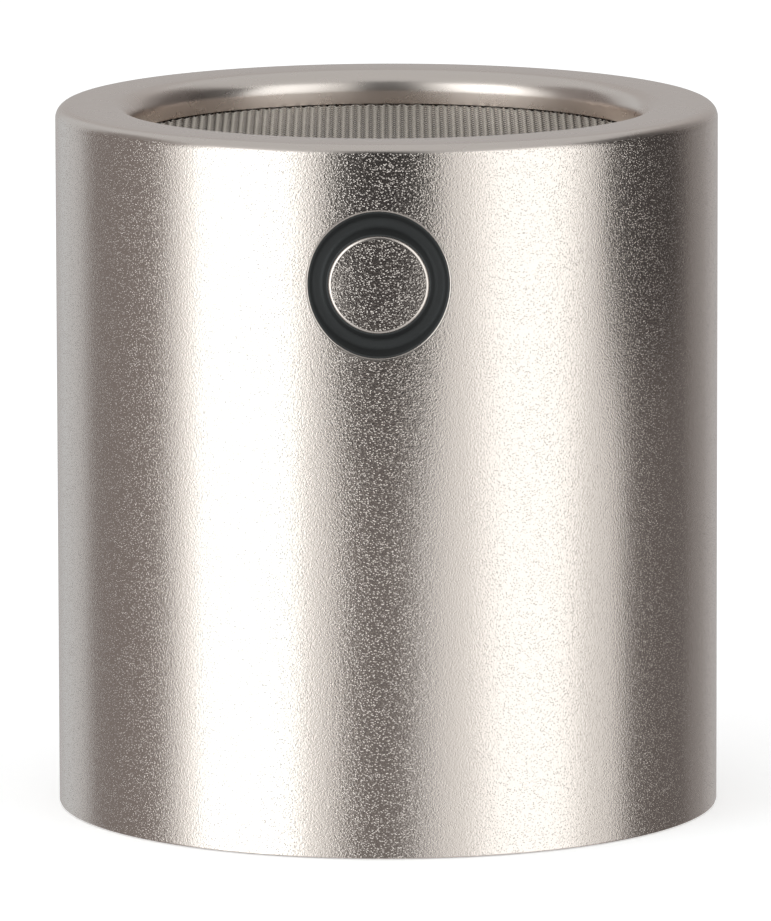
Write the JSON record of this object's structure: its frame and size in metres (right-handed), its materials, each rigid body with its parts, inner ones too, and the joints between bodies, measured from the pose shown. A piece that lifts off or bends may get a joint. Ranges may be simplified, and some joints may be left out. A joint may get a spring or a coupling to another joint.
{
  "type": "condenser microphone capsule",
  "caption": "Cylindrical condenser microphone capsule with a woven grille in front, a ring mark on the side and a threaded rear socket around its centre contact.",
  "frame": {"origin": "centre of the rear end face, where the capsule meets the microphone body", "axes": "+Z along the capsule's axis towards the grille, -Y towards the side that carries the ring mark, +X to the right of that side"},
  "size_m": [0.02, 0.02, 0.0213],
  "materials": {
    "nickel_plated_brass": "bead-blasted side and satin turned rim, nickel plated",
    "black_enamel": "baked black enamel fill",
    "steel_wire_cloth": "plain-woven bright wire",
    "dust_fabric": "fine black synthetic silk",
    "bare_brass": "turned",
    "fluoroplastic": "turned white fluoroplastic",
    "metallised_film": "gold-metallised polyester film",
    "polyester_sheet": "clear-yellowish polyester sheet",
    "amber_insulator": "turned amber plastic",
    "wool_felt": "pressed grey felt",
    "gold_plated_brass": "gold plated, polished",
    "black_rubber": "moulded",
    "nickel_plated_ring": "turned and nickel plated"
  },
  "bodies": {
    "root": {"housing": "nickel_plated_brass", "mark_enamel": "black_enamel", "grille_cloth": "steel_wire_cloth", "dust_screen": "dust_fabric", "grille_ring": "bare_brass", "cartridge_cap": "bare_brass", "slip_washer": "fluoroplastic", "tension_ring": "bare_brass", "diaphragm_film": "metallised_film", "spacer_ring": "polyester_sheet", "backplate": "bare_brass", "backplate_insulator": "amber_insulator", "cartridge_body": "bare_brass", "damping_felt": "wool_felt", "terminal_stud": "bare_brass", "stud_bush": "fluoroplastic", "stud_washer": "fluoroplastic", "stud_nut": "bare_brass", "contact_button": "gold_plated_brass", "rear_gasket": "black_rubber", "lock_ring": "nickel_plated_ring"}
  },
  "joints": []
}
